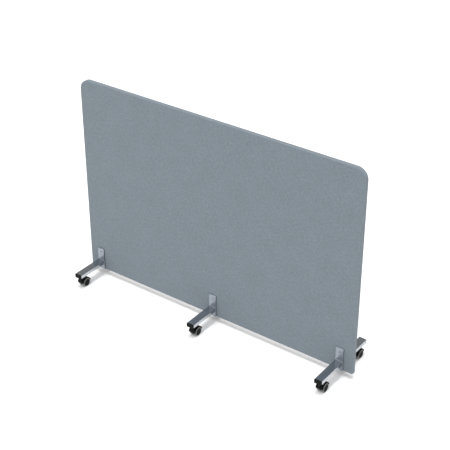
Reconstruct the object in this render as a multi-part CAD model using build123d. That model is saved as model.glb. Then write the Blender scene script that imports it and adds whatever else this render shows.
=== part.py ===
"""Mobile partition wall: a fabric-covered panel on three cross feet with twin-wheel castors.

Millimetres, +Z up. The origin is on the floor under the middle of the panel,
X runs along the panel and -Y is the front. Every castor trails inwards.
"""
import os

from build123d import *

# Driving dimensions
PANEL_WIDTH = 1800
PANEL_HEIGHT = 1195
PANEL_THICKNESS = 25
PANEL_GAP = 35            # floor to the underside of the panel
CORNER_RADIUS = 60        # the two top corners
FOOT_SPACING = 820        # from the middle foot to each outer foot
FOOT_LENGTH = 448         # over both end caps
CASTOR_DIAMETER = 50
CASTOR_TRACK = 175        # panel centre line to each castor's axle

# Panel
COVER = 1.0               # fabric thickness
COVER_EDGE_RADIUS = 2.5
FOLD_UNDER = 8            # fabric turned under the bottom edge
BOARD = 3.0               # facing board thickness
STILE_WIDTH = 110
TOP_RAIL = 70
BOTTOM_RAIL = 60

# Feet
PLATE_WIDTH = 45
PLATE_THICKNESS = 7
PLATE_HEIGHT = 137
PLATE_NOSE_RADIUS = 5     # along the plate's upper edge
PLATE_EDGE_RADIUS = 0.8   # down its sides
TUBE_WIDTH = 45
TUBE_HEIGHT = 24
TUBE_WALL = 2
TUBE_CORNER = 3
TUBE_BOTTOM = 70
CAP_FLANGE = 6
CAP_PLUG = 12
CAP_CLEARANCE = 0.2

# Bolts through the panel, one low and one high on each bracket
BOLT_RADIUS = 3
BOLT_HEAD_RADIUS = 5.25
BOLT_HEAD_HEIGHT = 3.3
BOLT_HEIGHTS = (52, 149)
NUT_FLATS = 10
NUT_HEIGHT = 6
NUT_DOME_RADIUS = 4.6
HOLE_RADIUS = 3.4

# Castors
WHEEL_INNER = 3.5         # inner and outer face of each wheel, from the castor's middle
WHEEL_OUTER = 22.5
WHEEL_EDGE = 2.5
FACE_RECESS = 1.6
RIM_RADIUS = 20.5
HUB_RADIUS = 6
AXLE_RADIUS = 3
AXLE_HALF_LENGTH = 19
WHEEL_CLEARANCE = 0.06    # radial, wheel on axle
TRAIL = 22                # stem to axle
STEM_RADIUS = 5.5
STEM_CLEARANCE = 0.05     # radial, hood on stem
STEM_BOTTOM = 50
COLLAR_RADIUS = 11
COLLAR_HEIGHT = 3
SHANK_RADIUS = 5
HEAD_RADIUS = 8
HEAD_HEIGHT = 3
HOOD_INNER = 28.5
HOOD_OUTER = 32.5
HOOD_HALF_WIDTH = 22.5
HOOD_RISE = 4             # axle to the mudguard's lower edge
WEB_HALF_WIDTH = 2.5
BOSS_RADIUS = 10.5
HOOD_GAP = 4              # hood to tube
AXLE_BOSS_RADIUS = 11

WHEEL_RADIUS = CASTOR_DIAMETER / 2
PANEL_BOTTOM = PANEL_GAP
PANEL_TOP = PANEL_GAP + PANEL_HEIGHT
HALF_THICKNESS = PANEL_THICKNESS / 2
PLATE_FACE = HALF_THICKNESS + PLATE_THICKNESS
TUBE_END = FOOT_LENGTH / 2 - CAP_FLANGE
CORE_HALF = HALF_THICKNESS - COVER - BOARD
STEM_TRACK = CASTOR_TRACK + TRAIL
HOOD_TOP = TUBE_BOTTOM - HOOD_GAP

FEET = {"left": -FOOT_SPACING, "middle": 0, "right": FOOT_SPACING}
SIDES = {"front": -1, "rear": 1}


def box(x0, x1, y0, y1, z0, z1):
    """Block between two corners."""
    size = Box(x1 - x0, y1 - y0, z1 - z0)
    return Pos((x0 + x1) / 2, (y0 + y1) / 2, (z0 + z1) / 2) * size


def bar_y(radius, x, z, y0, y1):
    """Round bar along Y."""
    bar = Rot(90, 0, 0) * Cylinder(radius, y1 - y0)
    return Pos(x, (y0 + y1) / 2, z) * bar


def bar_x(radius, x0, x1, y, z):
    """Round bar along X."""
    bar = Rot(0, 90, 0) * Cylinder(radius, x1 - x0)
    return Pos((x0 + x1) / 2, y, z) * bar


def bar_z(radius, x, y, z0, z1):
    """Round bar along Z."""
    return Pos(x, y, (z0 + z1) / 2) * Cylinder(radius, z1 - z0)


def slab(inset, y0, y1):
    """Panel outline drawn in by inset, with round top corners, between two depths."""
    half = PANEL_WIDTH / 2 - inset
    block = box(-half, half, y0, y1, PANEL_BOTTOM + inset, PANEL_TOP - inset)
    top = block.edges().filter_by(Axis.Y).group_by(Axis.Z)[-1]
    return fillet(top, CORNER_RADIUS - inset)


def bolt_holes(y0, y1):
    """Drills for every bolt through the panel."""
    drills = []
    for x in FEET.values():
        for z in BOLT_HEIGHTS:
            drills.append(bar_y(HOLE_RADIUS, x, z, y0, y1))
    return drills


def drill(solid):
    """Cut the bolt holes through a panel layer."""
    return solid - bolt_holes(-PANEL_THICKNESS, PANEL_THICKNESS)


def make_cover():
    """Fabric sock: closed all round except for a slot along the underside."""
    outer = slab(0, -HALF_THICKNESS, HALF_THICKNESS)
    faces = outer.faces().filter_by(Axis.Y)
    rims = [edge for face in faces for edge in face.edges()]
    outer = fillet(rims, COVER_EDGE_RADIUS)
    inner = slab(COVER, COVER - HALF_THICKNESS, HALF_THICKNESS - COVER)
    slot_half = HALF_THICKNESS - FOLD_UNDER
    reach = PANEL_WIDTH / 2 - FOLD_UNDER
    slot = box(-reach, reach, -slot_half, slot_half, PANEL_BOTTOM - 1, PANEL_BOTTOM + COVER + 1)
    return drill(outer - inner - slot)


def make_board(side):
    """Facing board under the fabric."""
    near = CORE_HALF * side
    far = (CORE_HALF + BOARD) * side
    return drill(slab(COVER, min(near, far), max(near, far)))


def make_frame():
    """Rails, stiles and infill between the facing boards."""
    sheet = slab(COVER, -CORE_HALF, CORE_HALF)
    half = PANEL_WIDTH / 2
    deck = PANEL_BOTTOM + COVER + BOTTOM_RAIL
    lintel = PANEL_TOP - COVER - TOP_RAIL
    stile_x = half - COVER - STILE_WIDTH
    mid_x = STILE_WIDTH / 2
    y = CORE_HALF
    parts = {
        "bottom_rail": drill(sheet & box(-half, half, -y, y, 0, deck)),
        "top_rail": sheet & box(-half, half, -y, y, lintel, PANEL_TOP),
        "left_stile": drill(sheet & box(-half, -stile_x, -y, y, deck, lintel)),
        "middle_stile": drill(box(-mid_x, mid_x, -y, y, deck, lintel)),
        "right_stile": drill(sheet & box(stile_x, half, -y, y, deck, lintel)),
    }
    infill_left = box(-stile_x, -mid_x, -y, y, deck, lintel)
    infill_right = box(mid_x, stile_x, -y, y, deck, lintel)
    parts["infill_boards"] = Compound(children=[infill_left, infill_right])
    return parts


def make_plate(x, side):
    """Flat clamp plate against the panel, with eased edges and two bolt holes."""
    half = PLATE_WIDTH / 2
    ys = sorted((HALF_THICKNESS * side, PLATE_FACE * side))
    plate = box(x - half, x + half, *ys, PANEL_BOTTOM, PANEL_BOTTOM + PLATE_HEIGHT)
    outermost = -1 if side > 0 else 0
    nose = plate.edges().filter_by(Axis.X).group_by(Axis.Z)[-1].sort_by(Axis.Y)[outermost]
    plate = fillet(nose, PLATE_NOSE_RADIUS)
    flanks = plate.faces().filter_by(Axis.X)
    back = HALF_THICKNESS * side
    rims = [edge for face in flanks for edge in face.edges() if abs(edge.center().Y - back) > 0.5]
    rims = [edge for edge in rims if edge.center().Z > PANEL_BOTTOM + 1]
    plate = fillet(rims, PLATE_EDGE_RADIUS)
    for z in BOLT_HEIGHTS:
        plate -= bar_y(HOLE_RADIUS, x, z, -30, 30)
    return plate


def make_tube(x, side):
    """Hollow rectangular arm from the clamp plate out to the end cap."""
    half = TUBE_WIDTH / 2
    ys = sorted((PLATE_FACE * side, TUBE_END * side))
    top = TUBE_BOTTOM + TUBE_HEIGHT
    tube = box(x - half, x + half, *ys, TUBE_BOTTOM, top)
    tube = fillet(tube.edges().filter_by(Axis.Y), TUBE_CORNER)
    wall = TUBE_WALL
    bore = box(x - half + wall, x + half - wall, *ys, TUBE_BOTTOM + wall, top - wall)
    bore = fillet(bore.edges().filter_by(Axis.Y), TUBE_CORNER - wall)
    tube -= bore
    stem_y = STEM_TRACK * side
    return tube - bar_z(SHANK_RADIUS + 0.1, x, stem_y, TUBE_BOTTOM - 1, TUBE_BOTTOM + wall + 1)


def make_cap(x, side):
    """Plastic end cap: a flange over the tube's end and a plug inside it."""
    half = TUBE_WIDTH / 2
    top = TUBE_BOTTOM + TUBE_HEIGHT
    ys = sorted((TUBE_END * side, (TUBE_END + CAP_FLANGE) * side))
    flange = box(x - half, x + half, *ys, TUBE_BOTTOM, top)
    flange = fillet(flange.edges().filter_by(Axis.Y), TUBE_CORNER)
    face = flange.faces().sort_by(Axis.Y)[-1 if side > 0 else 0]
    flange = fillet(face.edges(), 1.2)
    gap = TUBE_WALL + CAP_CLEARANCE
    ys = sorted((TUBE_END * side, (TUBE_END - CAP_PLUG) * side))
    plug = box(x - half + gap, x + half - gap, *ys, TUBE_BOTTOM + gap, top - gap)
    plug = fillet(plug.edges().filter_by(Axis.Y), 1)
    return flange + plug


def make_bolts():
    """Button-head bolts, heads at the front."""
    bolts = []
    for x in FEET.values():
        for z in BOLT_HEIGHTS:
            shank = bar_y(BOLT_RADIUS, x, z, -PLATE_FACE, PLATE_FACE + NUT_HEIGHT - 1)
            head = bar_y(BOLT_HEAD_RADIUS, x, z, -PLATE_FACE - BOLT_HEAD_HEIGHT, -PLATE_FACE)
            rim = head.edges().sort_by(Axis.Y)[0]
            head = fillet(rim, BOLT_HEAD_HEIGHT * 0.7)
            socket = Pos(x, -PLATE_FACE - BOLT_HEAD_HEIGHT, z) * Rot(90, 0, 0)
            key = socket * extrude(RegularPolygon(2.2, 6), amount=2, both=True)
            bolts.append(shank + head - key)
    return Compound(children=bolts)


def make_nuts():
    """Domed nuts at the rear."""
    nuts = []
    for x in FEET.values():
        for z in BOLT_HEIGHTS:
            seat = Pos(x, PLATE_FACE, z) * Rot(-90, 0, 0)
            body = seat * extrude(RegularPolygon(NUT_FLATS / 2, 6, major_radius=False), amount=NUT_HEIGHT)
            dome = Pos(x, PLATE_FACE + NUT_HEIGHT, z) * Sphere(NUT_DOME_RADIUS)
            dome &= box(x - 9, x + 9, PLATE_FACE + NUT_HEIGHT - 1, PLATE_FACE + 20, z - 9, z + 9)
            bore = bar_y(BOLT_RADIUS + 0.05, x, z, PLATE_FACE, PLATE_FACE + NUT_HEIGHT - 0.5)
            nuts.append(body + dome - bore)
    return Compound(children=nuts)


def make_stem(x, side):
    """Riveted stud under the tube that the castor turns on."""
    y = STEM_TRACK * side
    inside = TUBE_BOTTOM + TUBE_WALL
    pin = bar_z(STEM_RADIUS, x, y, STEM_BOTTOM, TUBE_BOTTOM - COLLAR_HEIGHT)
    pin = chamfer(pin.edges().sort_by(Axis.Z)[0], 0.8)
    collar = bar_z(COLLAR_RADIUS, x, y, TUBE_BOTTOM - COLLAR_HEIGHT, TUBE_BOTTOM)
    collar = fillet(collar.edges().sort_by(Axis.Z)[0], 1)
    shank = bar_z(SHANK_RADIUS, x, y, TUBE_BOTTOM, inside)
    head = bar_z(HEAD_RADIUS, x, y, inside, inside + HEAD_HEIGHT)
    head = fillet(head.edges().sort_by(Axis.Z)[-1], 1.5)
    return pin + collar + shank + head


def make_hood(x, side):
    """Castor body: stem socket, mudguard over both wheels and a web that holds the axle."""
    y = CASTOR_TRACK * side
    stem_y = STEM_TRACK * side
    z = WHEEL_RADIUS
    w = HOOD_HALF_WIDTH
    guard = bar_x(HOOD_OUTER, x - w, x + w, y, z)
    guard = fillet(guard.edges().filter_by(GeomType.CIRCLE), 1.5)
    reach = HOOD_OUTER + 5
    guard &= box(x - reach, x + reach, y - reach, y + reach, z + HOOD_RISE, z + reach)
    boss = bar_z(BOSS_RADIUS, x, stem_y, z + 12, HOOD_TOP)
    boss = fillet(boss.edges().sort_by(Axis.Z)[-1], 1.5)
    ribs = box(x - 7, x + 7, *sorted((y, stem_y)), z + 20, HOOD_TOP - 6)
    hood = guard + boss + ribs
    web = bar_x(AXLE_BOSS_RADIUS, x - WEB_HALF_WIDTH, x + WEB_HALF_WIDTH, y, z)
    for hand in (-1, 1):
        xs = sorted((x + hand * WEB_HALF_WIDTH, x + hand * (WHEEL_OUTER + 5)))
        hood -= bar_x(HOOD_INNER, *xs, y, z)
    hood += web
    hood -= bar_x(AXLE_RADIUS + 0.02, x - 9, x + 9, y, z)
    bore_bottom = STEM_BOTTOM - 0.5
    return hood - bar_z(STEM_RADIUS + STEM_CLEARANCE, x, stem_y, bore_bottom, HOOD_TOP + 1)


def make_axle(x, side):
    """Steel pin through the web that both wheels run on."""
    y = CASTOR_TRACK * side
    axle = bar_x(AXLE_RADIUS, x - AXLE_HALF_LENGTH, x + AXLE_HALF_LENGTH, y, WHEEL_RADIUS)
    return chamfer(axle.edges().filter_by(GeomType.CIRCLE), 0.5)


def make_wheel(x, side, hand):
    """One wheel of the pair, dished on its outer face, with a blind bore."""
    y = CASTOR_TRACK * side
    z = WHEEL_RADIUS
    inner = x + hand * WHEEL_INNER
    outer = x + hand * WHEEL_OUTER
    wheel = bar_x(WHEEL_RADIUS, *sorted((inner, outer)), y, z)
    rims = wheel.edges().filter_by(GeomType.CIRCLE).sort_by(Axis.X)
    wheel = fillet(rims[-1 if hand > 0 else 0], WHEEL_EDGE)
    rims = wheel.edges().filter_by(GeomType.CIRCLE).sort_by(Axis.X)
    wheel = fillet(rims[0 if hand > 0 else -1], 1)
    floor = outer - hand * FACE_RECESS
    dish = bar_x(RIM_RADIUS, *sorted((floor, outer + hand)), y, z)
    dish -= bar_x(HUB_RADIUS, *sorted((floor, outer + hand)), y, z)
    bore = bar_x(AXLE_RADIUS + WHEEL_CLEARANCE, *sorted((x, x + hand * (AXLE_HALF_LENGTH + 0.5))), y, z)
    return wheel - dish - bore


def build():
    """Every piece by name."""
    parts = {"fabric_cover": make_cover()}
    for name, side in SIDES.items():
        parts[f"{name}_board"] = make_board(side)
    parts.update(make_frame())
    for foot, x in FEET.items():
        for name, side in SIDES.items():
            spot = f"{name}_{foot}"
            parts[f"{spot}_bracket"] = make_plate(x, side)
            parts[f"{spot}_arm"] = make_tube(x, side)
            parts[f"{spot}_end_cap"] = make_cap(x, side)
            parts[f"{spot}_castor_stem"] = make_stem(x, side)
            parts[f"{spot}_castor_hood"] = make_hood(x, side)
            parts[f"{spot}_castor_axle"] = make_axle(x, side)
            parts[f"{spot}_wheel_a"] = make_wheel(x, side, -1)
            parts[f"{spot}_wheel_b"] = make_wheel(x, side, 1)
    parts["bracket_bolts"] = make_bolts()
    parts["bracket_nuts"] = make_nuts()
    return parts


os.makedirs("parts", exist_ok=True)
for node, solid in build().items():
    export_step(solid, f"parts/{node}.step")
    print(node, len(solid.solids()), round(solid.volume))
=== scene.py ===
"""Looks for the mobile partition wall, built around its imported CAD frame.

Metres, +Z up, -Y is the front. Places and outer sizes are read from the frame; what is
named here is the detail that the frame's boxes don't hold.
"""

import math

import bpy
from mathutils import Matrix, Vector, noise


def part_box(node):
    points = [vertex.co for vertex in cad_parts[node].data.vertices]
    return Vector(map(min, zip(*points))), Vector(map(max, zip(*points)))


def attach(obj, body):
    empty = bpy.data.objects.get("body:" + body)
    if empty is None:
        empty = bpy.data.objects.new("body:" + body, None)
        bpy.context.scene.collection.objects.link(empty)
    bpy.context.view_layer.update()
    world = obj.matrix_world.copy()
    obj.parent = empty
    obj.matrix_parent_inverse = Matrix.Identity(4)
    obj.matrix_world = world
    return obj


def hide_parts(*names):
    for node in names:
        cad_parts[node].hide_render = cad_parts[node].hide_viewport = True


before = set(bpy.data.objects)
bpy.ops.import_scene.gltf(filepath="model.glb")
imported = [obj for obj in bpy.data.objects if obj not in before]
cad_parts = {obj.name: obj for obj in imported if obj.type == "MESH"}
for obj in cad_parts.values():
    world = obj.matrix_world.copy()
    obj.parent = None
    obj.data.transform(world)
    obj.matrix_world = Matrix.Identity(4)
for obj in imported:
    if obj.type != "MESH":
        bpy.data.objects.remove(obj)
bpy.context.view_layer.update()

MM = 0.001
SPOTS = [f"{end}_{foot}" for foot in ("left", "middle", "right") for end in ("front", "rear")]

# Fabric cover
CLOTH = 1.0 * MM
EDGE_RADIUS = 2.5 * MM
SEAM_DEPTH = 0.7 * MM         # down the panel's two ends
SLOT_HALF = 2 * MM            # underside slot between the two turned edges
FOLD_UNDER = 10.5 * MM
GRID_STEP = 20 * MM
CORNER_RADIUS = 60 * MM
NAP = 0.4 * MM                # how far the cloth stands proud of the plates' seats
SEAT_STEPS = (0.0, 2 * MM, 6 * MM, 12 * MM)    # grid lines outside each plate's seat
CROWN_SHARES = (0.33, 0.66, 0.97, 1.0)         # grid rows between the round corners
THREAD = 1.6 * MM             # weave pitch

# Camera and studio
VIEW_AZIMUTH = 36.35
VIEW_ELEVATION = 30.86
CAMERA_PLACE = (3.1631, -4.1999, 3.7544)
LENS = 91.99
SENSOR = 36.0
FLOOR_REACH = 120.0
WORLD_STRENGTH = 0.88
HORIZON_STRENGTH = 1.05
BEHIND = 0.36                 # how bright the surroundings are high up behind the panel
SOFT_STRENGTH = 1.65
SOFT_ANGLE = 60
SOFT_FROM = (0.0, -0.25, 1.0)
KEY_STRENGTH = 1.3
KEY_ANGLE = 8
KEY_FROM = (0.0, 0.0, 1.0)


# ---------------------------------------------------------------- node graphs

class Nodes:
    """A node tree, with short calls for the nodes used here."""

    def __init__(self, tree):
        self.tree = tree

    def node(self, kind, inputs=(), **settings):
        """A new node; inputs pairs a socket's name or number with a value or an output."""
        made = self.tree.nodes.new(f"ShaderNode{kind}")
        for key, value in settings.items():
            setattr(made, key, value)
        for socket, value in inputs:
            if isinstance(value, bpy.types.NodeSocket):
                self.tree.links.new(value, made.inputs[socket])
            else:
                made.inputs[socket].default_value = value
        return made

    def math(self, operation, a, b=0.0, clamp=False):
        """The output of a Math node."""
        pair = ((0, a), (1, b))
        return self.node("Math", pair, operation=operation, use_clamp=clamp).outputs[0]

    def where(self, kind="Object"):
        """Texture coordinates: Object is metres in the part's own frame."""
        return self.node("TexCoord").outputs[kind]

    def stretched(self, vector, scale):
        """The vector multiplied per axis."""
        pair = ((0, vector), (1, scale))
        return self.node("VectorMath", pair, operation="MULTIPLY").outputs[0]

    def noise(self, vector, scale, detail=3.0, roughness=0.5):
        """Noise from 0 to 1."""
        inputs = (("Vector", vector), ("Scale", scale), ("Detail", detail), ("Roughness", roughness))
        return self.node("TexNoise", inputs).outputs["Fac"]

    def ramp(self, factor, stops):
        """A colour ramp; stops are (place, linear colour)."""
        made = self.node("ValToRGB", ((0, factor),))
        elements = made.color_ramp.elements
        while len(elements) < len(stops):
            elements.new(0.5)
        for element, (place, color) in zip(elements, stops):
            element.position = place
            element.color = (*color, 1)
        return made.outputs[0]

    def span(self, factor, low, high, start=0.0, end=1.0):
        """A value between start and end spread from low to high."""
        inputs = (("Value", factor), ("From Min", start), ("From Max", end))
        inputs += (("To Min", low), ("To Max", high))
        return self.node("MapRange", inputs).outputs[0]

    def mix(self, factor, a, b, blend="MIX"):
        """Two colours mixed."""
        made = self.node("Mix", ((0, factor), (6, a), (7, b)), data_type="RGBA", blend_type=blend)
        return made.outputs[2]


class Graph(Nodes):
    """A material's node tree and its shader."""

    def __init__(self, name, color, roughness, metallic=0.0, **sockets):
        self.material = bpy.data.materials.new(name)
        self.material.use_nodes = True
        super().__init__(self.material.node_tree)
        self.shader = self.tree.nodes["Principled BSDF"]
        self.shader.inputs["Base Color"].default_value = (*color, 1)
        self.shader.inputs["Roughness"].default_value = roughness
        self.shader.inputs["Metallic"].default_value = metallic
        for socket, value in sockets.items():
            self.shader.inputs[socket.replace("_", " ")].default_value = value

    def paint(self, color):
        self.tree.links.new(color, self.shader.inputs["Base Color"])

    def gloss(self, roughness):
        self.tree.links.new(roughness, self.shader.inputs["Roughness"])

    def bump(self, height, distance, strength=1.0):
        inputs = (("Height", height), ("Distance", distance), ("Strength", strength))
        made = self.node("Bump", inputs)
        self.tree.links.new(made.outputs[0], self.shader.inputs["Normal"])


def grey(value):
    return (value, value, value)


def scaled(color, factor):
    return tuple(channel * factor for channel in color)


# ---------------------------------------------------------------- materials

def fabric_material():
    """Blue-grey melange cloth: a plain weave of mixed yarns, with soft mottling."""
    tone = (0.172, 0.204, 0.230)
    g = Graph("fabric_melange", tone, 0.9, Sheen_Weight=0.15, Sheen_Roughness=0.5)
    g.shader.inputs["Specular IOR Level"].default_value = 0.2
    uv = g.where("UV")
    parts = g.node("SeparateXYZ", ((0, uv),)).outputs
    turn = math.pi / THREAD
    across = g.math("SINE", g.math("MULTIPLY", parts[0], turn))
    along = g.math("SINE", g.math("MULTIPLY", parts[1], turn))
    over = g.math("MULTIPLY", across, along)
    on_top = g.math("ADD", g.math("MULTIPLY", over, 3.0), 0.5, clamp=True)
    warp = g.noise(g.stretched(uv, (1 / THREAD, 26, 1)), 1.3, 2.0)
    weft = g.noise(g.stretched(uv, (22, 1 / THREAD, 1)), 1.3, 2.0)
    yarn = g.node("Mix", ((0, on_top), (2, weft), (3, warp)), data_type="FLOAT").outputs[0]
    mottle = g.noise(uv, 75, 4.0, 0.62)
    cloud = g.noise(uv, 9, 2.0)
    blend = g.math("ADD", g.math("MULTIPLY", yarn, 0.55), g.math("MULTIPLY", mottle, 0.35))
    blend = g.math("ADD", blend, g.math("MULTIPLY", cloud, 0.10))
    stops = (
        (0.30, scaled(tone, 0.72)),
        (0.45, scaled(tone, 0.93)),
        (0.55, scaled(tone, 1.07)),
        (0.72, scaled(tone, 1.34)),
    )
    base = g.ramp(blend, stops)
    # Painted shade: the grooves between the yarns are darkened to 0.86 of the cloth's colour.
    groove = g.math("ABSOLUTE", over)
    shade = g.ramp(groove, ((0.0, grey(0.86)), (0.35, grey(1.0))))
    g.paint(g.mix(1.0, base, shade, "MULTIPLY"))
    fuzz = g.noise(uv, 2600, 3.0, 0.7)
    g.gloss(g.span(fuzz, 0.84, 1.0))
    height = g.math("ADD", g.math("MULTIPLY", groove, 0.7), g.math("MULTIPLY", fuzz, 0.3))
    g.bump(height, 0.35 * MM, 0.55)
    return g.material


def silver_material(name, grain, tone, gloss):
    """Satin silver metal, brushed along one axis: grain is x, y or z."""
    g = Graph(name, tone, gloss, 1.0)
    stretch = [900.0, 900.0, 900.0]
    stretch["xyz".index(grain)] = 14.0
    where = g.where()
    brush = g.noise(g.stretched(where, tuple(stretch)), 1.0, 3.0, 0.6)
    smudge = g.noise(where, 22, 3.0)
    handled = g.math("MULTIPLY", brush, 0.55)
    handled = g.math("ADD", handled, g.math("MULTIPLY", smudge, 0.45))
    g.gloss(g.span(handled, gloss * 0.7, gloss * 1.4))
    stops = ((0.25, scaled(tone, 0.91)), (0.75, scaled(tone, 1.09)))
    g.paint(g.ramp(brush, stops))
    g.bump(brush, 0.02 * MM, 0.5)
    return g.material


def steel_material(name, tone, gloss):
    """Plated steel for bolts, nuts, stems and axles."""
    g = Graph(name, tone, gloss, 1.0)
    where = g.where()
    spangle = g.noise(where, 380, 4.0, 0.6)
    g.gloss(g.span(spangle, gloss * 0.7, gloss * 1.4))
    g.paint(g.ramp(spangle, ((0.3, scaled(tone, 0.83)), (0.7, scaled(tone, 1.15)))))
    g.bump(spangle, 0.02 * MM, 0.4)
    return g.material


def plastic_material(name, tone, roughness, shine, grain=1900):
    """Black moulded plastic with a fine spark-eroded grain and light scuffs."""
    g = Graph(name, tone, roughness)
    g.shader.inputs["Specular IOR Level"].default_value = shine
    where = g.where()
    fine = g.noise(where, grain, 2.0, 0.6)
    scuff = g.noise(where, 160, 5.0, 0.65)
    g.gloss(g.span(scuff, roughness * 0.75, roughness * 1.35))
    g.paint(g.ramp(scuff, ((0.35, scaled(tone, 0.8)), (0.75, scaled(tone, 1.5)))))
    g.bump(fine, 0.06 * MM, 0.5)
    return g.material


def timber_material():
    """Planed softwood with its grain along X."""
    g = Graph("softwood", (0.56, 0.38, 0.20), 0.6)
    where = g.where()
    ring = g.noise(g.stretched(where, (6, 90, 90)), 1.0, 4.0, 0.6)
    stops = (
        (0.3, (0.40, 0.24, 0.11)),
        (0.5, (0.60, 0.42, 0.23)),
        (0.7, (0.68, 0.50, 0.30)),
    )
    g.paint(g.ramp(ring, stops))
    g.gloss(g.span(ring, 0.5, 0.75))
    g.bump(ring, 0.1 * MM, 0.5)
    return g.material


def board_material(name, light, dark, scale):
    """Pressed board: flakes or fibres of two tones."""
    g = Graph(name, light, 0.85)
    where = g.where()
    flake = g.noise(where, scale, 5.0, 0.7)
    g.paint(g.ramp(flake, ((0.35, dark), (0.65, light))))
    g.gloss(g.span(flake, 0.75, 0.95))
    g.bump(flake, 0.15 * MM, 0.5)
    return g.material


def floor_material():
    """White studio floor with a barely visible tooth."""
    g = Graph("studio_floor", grey(0.9), 0.75)
    g.shader.inputs["Specular IOR Level"].default_value = 0.2
    tooth = g.noise(g.where(), 35, 3.0)
    g.paint(g.ramp(tooth, ((0.3, grey(0.885)), (0.7, grey(0.905)))))
    return g.material


# ---------------------------------------------------------------- mesh helpers

class Shell:
    """Vertices and faces gathered with a UV for each face corner."""

    def __init__(self):
        self.points = []
        self.faces = []
        self.corners = []

    def add(self, point):
        self.points.append(tuple(point))
        return len(self.points) - 1

    def face(self, ids, uvs):
        """A face with repeated corners dropped, so that a quad may close to a triangle."""
        kept = [k for k in range(len(ids)) if ids[k] != ids[k - 1]]
        if len(kept) > 2:
            self.faces.append([ids[k] for k in kept])
            self.corners.append([uvs[k] for k in kept])

    def object(self, name, materials):
        mesh = bpy.data.meshes.new(name)
        mesh.from_pydata(self.points, [], self.faces)
        layer = mesh.uv_layers.new(name="UVMap")
        flat = [uv for corner in self.corners for uv in corner]
        for loop, uv in zip(layer.data, flat):
            loop.uv = uv
        mesh.shade_smooth()
        for material in materials:
            mesh.materials.append(material)
        made = bpy.data.objects.new(name, mesh)
        bpy.context.scene.collection.objects.link(made)
        return made


def smooth_step(value):
    """0 below 0, 1 above 1, with a soft start and end."""
    value = min(max(value, 0.0), 1.0)
    return value * value * (3 - 2 * value)


# ---------------------------------------------------------------- fabric cover

def spread(low, high, step):
    """Even places from low to high, no further apart than step."""
    count = math.ceil((high - low) / step)
    return [low + (high - low) * k / count for k in range(count + 1)]


def with_extra(places, extra):
    """The places plus the extra ones, dropping plain ones that come too close to an extra."""
    low, high = places[0], places[-1]
    extra = [value for value in extra if low < value < high]
    plain = [p for p in places if p in (low, high) or all(abs(p - e) > 4 * MM for e in extra)]
    return sorted(set(plain + extra))


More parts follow.
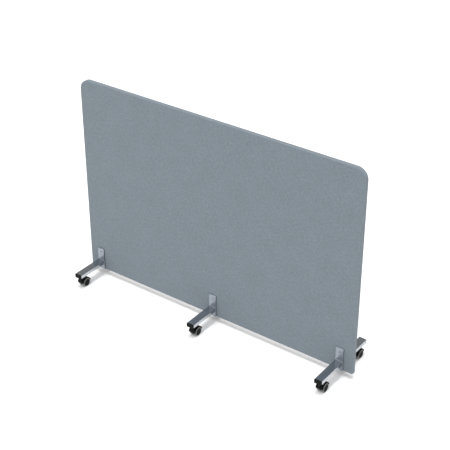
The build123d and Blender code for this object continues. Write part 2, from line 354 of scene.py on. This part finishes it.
class Cover:
    """The cloth over the panel: two faces, an edge band, and a slot underneath."""

    def __init__(self):
        low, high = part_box("fabric_cover")
        self.half = high.y
        self.x = high.x - EDGE_RADIUS
        self.bottom = low.z + EDGE_RADIUS
        self.top = high.z - EDGE_RADIUS
        self.radius = CORNER_RADIUS - EDGE_RADIUS
        self.seats = []
        for spot in SPOTS:
            self.seats.append(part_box(f"{spot}_bracket"))
        self.shell = Shell()

    def columns(self):
        """(x, top z, outward normal at the top) of each grid column."""
        reach = self.x - self.radius
        edges = []
        for low, high in self.seats[::2]:
            for out in SEAT_STEPS:
                edges += [low.x - out, high.x + out]
        flat = with_extra(spread(-reach, reach, GRID_STEP), edges)
        made = [(x, self.top, (0.0, 1.0)) for x in flat]
        turns = [k * math.pi / 24 for k in range(1, 13)]
        for side in (-1, 1):
            for turn in turns:
                x = side * (reach + self.radius * math.sin(turn))
                z = self.top - self.radius + self.radius * math.cos(turn)
                made.append((x, z, (side * math.sin(turn), math.cos(turn))))
        return sorted(made)

    def rows(self):
        """Grid heights below the round corners."""
        crown = self.top - self.radius
        seat_top = self.seats[0][1].z
        extra = [self.bottom + 1.5 * MM] + [seat_top + out for out in SEAT_STEPS]
        return with_extra(spread(self.bottom, crown, GRID_STEP), extra)

    def nap(self, x, z, front):
        """How far the cloth stands out: less near the rim, and pressed flat under each plate."""
        rim = min(self.x - abs(x), z - self.bottom, self.top - z)
        corner_x = abs(x) - (self.x - self.radius)
        corner_z = z - (self.top - self.radius)
        if corner_x > 0 and corner_z > 0:
            rim = min(rim, self.radius - math.hypot(corner_x, corner_z))
        out = NAP * smooth_step(rim / (14 * MM))
        for low, high in self.seats[0 if front else 1::2]:
            away = max(abs(x - (low.x + high.x) / 2) - (high.x - low.x) / 2, z - high.z)
            out *= smooth_step(away / (10 * MM))
        ripple = noise.noise(Vector((x * 5, z * 5, 3.0 if front else 9.0)))
        return out * (1 + 0.35 * ripple)

    def grid(self, front):
        """One face of the cover, as vertex ids by column, bottom first."""
        side = -1 if front else 1
        rows = self.rows()
        crown = rows[-1]
        shell = self.shell
        grid = []
        for x, z_top, _ in self.columns():
            heights = list(rows)
            if z_top - crown > 1e-6:
                heights += [crown + (z_top - crown) * share for share in CROWN_SHARES]
            column = [shell.add((x, side * (self.half + self.nap(x, z, front)), z)) for z in heights]
            column += [column[-1]] * (len(rows) + len(CROWN_SHARES) - len(column))
            grid.append(column)
        for left, right in zip(grid, grid[1:]):
            for k in range(len(left) - 1):
                ids = [left[k], right[k], right[k + 1], left[k + 1]]
                if not front:
                    ids.reverse()
                uvs = [(shell.points[i][0] * -side, shell.points[i][2]) for i in ids]
                shell.face(ids, uvs)
        return grid

    def profile(self):
        """(outward, y, how deep a seam draws it in) round the edge, front face to rear face."""
        flat = self.half - EDGE_RADIUS
        turns = [k * math.pi / 12 for k in range(1, 7)]
        front = [(EDGE_RADIUS * math.sin(t), -flat - EDGE_RADIUS * math.cos(t), 0.0) for t in turns]
        seam = [(EDGE_RADIUS, -SLOT_HALF, 0.0), (EDGE_RADIUS, -1.3 * MM, 0.0)]
        seam += [(EDGE_RADIUS, -0.7 * MM, 0.3 * SEAM_DEPTH), (EDGE_RADIUS, 0.0, SEAM_DEPTH)]
        half = front + seam
        return half + [(out, -y, dip) for out, y, dip in reversed(half[:-1])]

    def stations(self, front, rear):
        """Round the rim: (front id, rear id, normal, whether it is on the underside)."""
        columns = self.columns()
        last = len(self.rows()) - 1
        made = []
        for k in range(last + 1):
            made.append((front[0][k], rear[0][k], (-1.0, 0.0), False))
        for k in range(1, len(columns) - 1):
            made.append((front[k][-1], rear[k][-1], columns[k][2], False))
        for k in range(last, -1, -1):
            made.append((front[-1][k], rear[-1][k], (1.0, 0.0), False))
        turns = [k * math.pi / 8 for k in range(1, 4)]
        for turn in turns:
            made.append((front[-1][0], rear[-1][0], (math.cos(turn), -math.sin(turn)), False))
        for k in range(len(columns) - 1, -1, -1):
            made.append((front[k][0], rear[k][0], (0.0, -1.0), True))
        for turn in reversed(turns):
            made.append((front[0][0], rear[0][0], (-math.cos(turn), -math.sin(turn)), False))
        return made

    def band(self, front, rear):
        """The edge band between the two faces: folded over the top, and seamed down both ends."""
        shell = self.shell
        profile = self.profile()
        rails = []
        travel = [0.0]
        for first, final, normal, _ in self.stations(front, rear):
            x, _, z = shell.points[first]
            rail = [first]
            for edge_out, y, dip in profile:
                out = edge_out - dip * abs(normal[0])
                rail.append(shell.add((x + normal[0] * out, y, z + normal[1] * out)))
            rail.append(final)
            rails.append(rail)
        for before, after in zip(rails, rails[1:] + rails[:1]):
            a, b = Vector(shell.points[before[8]]), Vector(shell.points[after[8]])
            travel.append(travel[-1] + (b - a).length)
        under = [station[3] for station in self.stations(front, rear)]
        inner = self.x + EDGE_RADIUS - FOLD_UNDER
        for n in range(len(rails)):
            a, b = rails[n], rails[(n + 1) % len(rails)]
            below = under[n] and under[(n + 1) % len(rails)]
            for k in range(len(a) - 1):
                ends = [shell.points[a[k]], shell.points[b[k]]]
                middle = (shell.points[a[k]][1] + shell.points[a[k + 1]][1]) / 2
                if below and abs(middle) < SLOT_HALF and max(abs(e[0]) for e in ends) <= inner:
                    continue
                ids = [a[k], b[k], b[k + 1], a[k + 1]]
                across = (shell.points[a[k]][1], shell.points[a[k + 1]][1])
                uvs = [(travel[n], across[0]), (travel[n + 1], across[0])]
                uvs += [(travel[n + 1], across[1]), (travel[n], across[1])]
                shell.face(ids, uvs)

    def build(self, material):
        front = self.grid(True)
        rear = self.grid(False)
        self.band(front, rear)
        made = self.shell.object("panel_fabric", [material])
        solid = made.modifiers.new("cloth", "SOLIDIFY")
        solid.thickness = CLOTH
        solid.offset = -1
        return made


def make_cover(material):
    """The cover: one cloth folded over the top, cut with its turned edges."""
    cover = Cover()
    made = cover.build(material)
    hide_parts("fabric_cover")
    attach(made, "stand")


# ---------------------------------------------------------------- wheels

WHEEL_STEPS = 72
RIB_COUNT = 6
RIB_HALF = 1                  # steps either side of a rib's middle
RIB_RISE = 0.8 * MM
BORE_RADIUS = 3.1 * MM
BORE_DEPTH = 16 * MM


def wheel_profile(width, radius):
    """(distance from the inner face, radius, tyre) from the outer hub cap round to the bore."""
    face = width
    edge = 2.4 * MM
    points = [(face - 0.1 * MM, 0.0, 0), (face - 0.15 * MM, 2.5 * MM, 0), (face - 0.5 * MM, 4.6 * MM, 0)]
    points += [(face - 1.3 * MM, 5.6 * MM, 0), (face - 1.9 * MM, 6.2 * MM, 0)]
    points += [(face - 2.1 * MM, 8 * MM, 0), (face - 1.9 * MM, 12 * MM, 0), (face - 2.0 * MM, 16 * MM, 0)]
    points += [(face - 2.3 * MM, 18.8 * MM, 0), (face - 2.2 * MM, 19.8 * MM, 0)]
    points += [(face - 0.5 * MM, 20.3 * MM, 0), (face, 20.9 * MM, 1), (face, 22.6 * MM, 1)]
    for k in range(1, 6):
        turn = k * math.pi / 10
        points.append((face - edge + edge * math.cos(turn), radius - edge + edge * math.sin(turn), 1))
    points += [(face * 0.72, radius, 1), (face * 0.66, radius - 0.25 * MM, 1), (face * 0.60, radius, 1)]
    points += [(face * 0.36, radius, 1), (face * 0.30, radius - 0.25 * MM, 1), (face * 0.24, radius, 1)]
    points += [(1.0 * MM, radius, 1), (0.3 * MM, radius - 0.3 * MM, 1), (0.0, radius - 1.0 * MM, 1)]
    points += [(0.0, 21 * MM, 0), (2.4 * MM, 20.2 * MM, 0), (2.6 * MM, 9.4 * MM, 0)]
    points += [(0.2 * MM, 8.6 * MM, 0), (0.0, 8.2 * MM, 0), (0.0, BORE_RADIUS, 0)]
    points += [(BORE_DEPTH, BORE_RADIUS, 0), (BORE_DEPTH + 0.2 * MM, 0.0, 0)]
    return points


def ribbed(step, radius):
    """True where a moulded rib crosses the wheel's dished face."""
    spacing = WHEEL_STEPS // RIB_COUNT
    place = (step + spacing // 2) % spacing - spacing // 2
    return abs(place) <= RIB_HALF and 7 * MM < radius < 19 * MM


def make_wheel(spot, letter, materials):
    """One castor wheel, turned about its axle, with six ribs and a tyre step."""
    low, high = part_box(f"{spot}_wheel_{letter}")
    centre_y, centre_z = (low.y + high.y) / 2, (low.z + high.z) / 2
    hand = -1 if letter == "a" else 1
    inner = high.x if hand < 0 else low.x
    profile = wheel_profile(high.x - low.x, (high.z - low.z) / 2)
    face_end = high.x - low.x - 3 * MM
    shell = Shell()
    rings = []
    for out, radius, _ in profile:
        if radius == 0:
            rings.append([shell.add((inner + hand * out, centre_y, centre_z))] * WHEEL_STEPS)
            continue
        ring = []
        for step in range(WHEEL_STEPS):
            turn = 2 * math.pi * step / WHEEL_STEPS
            rise = RIB_RISE if out > face_end and ribbed(step, radius) else 0.0
            y = centre_y + radius * math.cos(turn)
            z = centre_z + radius * math.sin(turn)
            ring.append(shell.add((inner + hand * (out + rise), y, z)))
        rings.append(ring)
    tyre = []
    for k in range(len(rings) - 1):
        a, b = rings[k], rings[k + 1]
        for step in range(WHEEL_STEPS):
            after = (step + 1) % WHEEL_STEPS
            ids = [a[step], b[step], b[after], a[after]]
            if hand < 0:
                ids.reverse()
            uvs = [(step / WHEEL_STEPS, k / len(rings))] * 4
            before = len(shell.faces)
            shell.face(ids, uvs)
            if len(shell.faces) > before:
                tyre.append(min(profile[k][2], profile[k + 1][2]))
    made = shell.object(f"{spot}_wheel_{letter}_detail", materials)
    for polygon, is_tyre in zip(made.data.polygons, tyre):
        polygon.material_index = is_tyre
    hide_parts(f"{spot}_wheel_{letter}")
    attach(made, f"{spot}_wheel_{letter}")


# ---------------------------------------------------------------- welds

WELD_RADIUS = 1.1 * MM
WELD_STEP = 1.2 * MM
WELD_SIDES = 8
ARM_CORNER = 3 * MM


def make_weld(spot, material):
    """The bead where the arm's end is welded to its plate."""
    arm_low, arm_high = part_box(f"{spot}_arm")
    plate_low, plate_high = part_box(f"{spot}_bracket")
    side = 1 if arm_high.y > 0 else -1
    y = plate_high.y if side > 0 else plate_low.y
    half_x = (arm_high.x - arm_low.x) / 2
    half_z = (arm_high.z - arm_low.z) / 2
    middle = (arm_low + arm_high) / 2
    path = []
    for turn_x, turn_z, start in ((1, 1, 0), (-1, 1, 1), (-1, -1, 2), (1, -1, 3)):
        for k in range(5):
            turn = (start + k / 4) * math.pi / 2
            x = turn_x * (half_x - ARM_CORNER) + ARM_CORNER * math.cos(turn)
            z = turn_z * (half_z - ARM_CORNER) + ARM_CORNER * math.sin(turn)
            path.append(Vector((x, 0, z)))
    dense = []
    for a, b in zip(path, path[1:] + path[:1]):
        count = max(1, round((b - a).length / WELD_STEP))
        dense += [a.lerp(b, k / count) for k in range(count)]
    shell = Shell()
    rings = []
    for n, point in enumerate(dense):
        tangent = (dense[(n + 1) % len(dense)] - dense[n - 1]).normalized()
        outward = Vector((tangent.z, 0, -tangent.x))
        size = WELD_RADIUS * (1 + 0.16 * math.sin(n * 2.1) + 0.08 * math.sin(n * 0.7))
        ring = []
        for k in range(WELD_SIDES):
            turn = 2 * math.pi * k / WELD_SIDES
            offset = outward * math.cos(turn) * size + Vector((0, side * math.sin(turn) * size, 0))
            place = middle + point + offset
            place.y = y + offset.y
            ring.append(shell.add(place))
        rings.append(ring)
    for n in range(len(rings)):
        a, b = rings[n], rings[(n + 1) % len(rings)]
        for k in range(WELD_SIDES):
            after = (k + 1) % WELD_SIDES
            ids = [a[k], a[after], b[after], b[k]]
            if side < 0:
                ids.reverse()
            shell.face(ids, [(n / len(rings), k / WELD_SIDES)] * 4)
    made = shell.object(f"{spot}_weld", [material])
    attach(made, "stand")


# ---------------------------------------------------------------- dressing the frame

def dress(name, material):
    """Give a CAD node its material."""
    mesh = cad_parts[name].data
    mesh.materials.clear()
    mesh.materials.append(material)


def dress_frame():
    """Materials for every CAD node, and the pieces that replace or join them."""
    arm_metal = silver_material("silver_arm", "y", (0.455, 0.475, 0.505), 0.18)
    # The plates take a darker copy of the arms' satin silver: painted shade standing in for the dimmer
    # reflections on the plates' faces.
    plate_metal_shaded = silver_material("silver_plate_shaded", "z", (0.285, 0.312, 0.352), 0.30)
    steel = steel_material("zinc_steel", (0.50, 0.52, 0.54), 0.3)
    fastener = steel_material("fastener_steel", (0.30, 0.31, 0.33), 0.40)
    cap = plastic_material("cap_plastic", grey(0.004), 0.40, 0.08)
    hood = plastic_material("hood_plastic", grey(0.003), 0.30, 0.08)
    disc = plastic_material("wheel_plastic", grey(0.004), 0.42, 0.08)
    tyre = plastic_material("tyre_rubber", grey(0.16), 0.45, 0.3, 900)
    timber = timber_material()
    board = board_material("hardboard", (0.36, 0.24, 0.14), (0.24, 0.15, 0.08), 700)
    infill = board_material("fibre_infill", (0.42, 0.41, 0.38), (0.30, 0.29, 0.27), 300)
    for spot in SPOTS:
        dress(f"{spot}_bracket", plate_metal_shaded)
        dress(f"{spot}_arm", arm_metal)
        dress(f"{spot}_end_cap", cap)
        dress(f"{spot}_castor_stem", steel)
        dress(f"{spot}_castor_hood", hood)
        dress(f"{spot}_castor_axle", steel)
        make_weld(spot, arm_metal)
        for letter in "ab":
            make_wheel(spot, letter, [disc, tyre])
    for name in ("bracket_bolts", "bracket_nuts"):
        dress(name, fastener)
    for name in ("front_board", "rear_board"):
        dress(name, board)
    for name in ("bottom_rail", "top_rail", "left_stile", "middle_stile", "right_stile"):
        dress(name, timber)
    dress("infill_boards", infill)
    make_cover(fabric_material())


# ---------------------------------------------------------------- studio

def make_floor():
    """A wide pale floor under the castors."""
    mesh = bpy.data.meshes.new("floor")
    turns = ((-1, -1), (1, -1), (1, 1), (-1, 1))
    corners = [(FLOOR_REACH * across, FLOOR_REACH * along, 0) for across, along in turns]
    mesh.from_pydata(corners, [], [(0, 1, 2, 3)])
    mesh.materials.append(floor_material())
    made = bpy.data.objects.new("floor", mesh)
    bpy.context.scene.collection.objects.link(made)


def make_light(name, strength, angle, came_from):
    """A distant light seen under the given angle."""
    light = bpy.data.lights.new(name, "SUN")
    light.angle = math.radians(angle)
    light.energy = strength
    made = bpy.data.objects.new(name, light)
    made.rotation_euler = Vector(came_from).to_track_quat("Z", "Y").to_euler()
    bpy.context.scene.collection.objects.link(made)


def make_studio():
    """White surroundings, dimmer high up behind, a wide soft light and a narrow one overhead."""
    world = bpy.data.worlds.new("studio")
    world.use_nodes = True
    g = Nodes(world.node_tree)
    parts = g.node("SeparateXYZ", ((0, g.where("Generated")),)).outputs
    behind = g.span(parts[1], WORLD_STRENGTH, WORLD_STRENGTH * BEHIND, 0.1, 0.6)
    horizon = g.span(parts[2], HORIZON_STRENGTH, 0.0, 0.02, 0.14)
    background = g.tree.nodes["Background"]
    background.inputs[0].default_value = (1, 1, 1, 1)
    g.tree.links.new(g.math("MAXIMUM", behind, horizon), background.inputs[1])
    bpy.context.scene.world = world
    make_light("soft", SOFT_STRENGTH, SOFT_ANGLE, SOFT_FROM)
    make_light("key", KEY_STRENGTH, KEY_ANGLE, KEY_FROM)
    bpy.context.scene.view_settings.view_transform = "Standard"


def make_camera():
    """The camera at the reference viewing angle."""
    data = bpy.data.cameras.new("camera")
    data.lens = LENS
    data.sensor_width = SENSOR
    data.clip_end = 100
    made = bpy.data.objects.new("camera", data)
    azimuth, elevation = math.radians(VIEW_AZIMUTH), math.radians(VIEW_ELEVATION)
    level = math.cos(elevation)
    ahead = Vector((-math.sin(azimuth) * level, math.cos(azimuth) * level, -math.sin(elevation)))
    made.location = CAMERA_PLACE
    made.rotation_euler = ahead.to_track_quat("-Z", "Y").to_euler()
    bpy.context.scene.collection.objects.link(made)
    bpy.context.scene.camera = made


dress_frame()
make_floor()
make_studio()
make_camera()
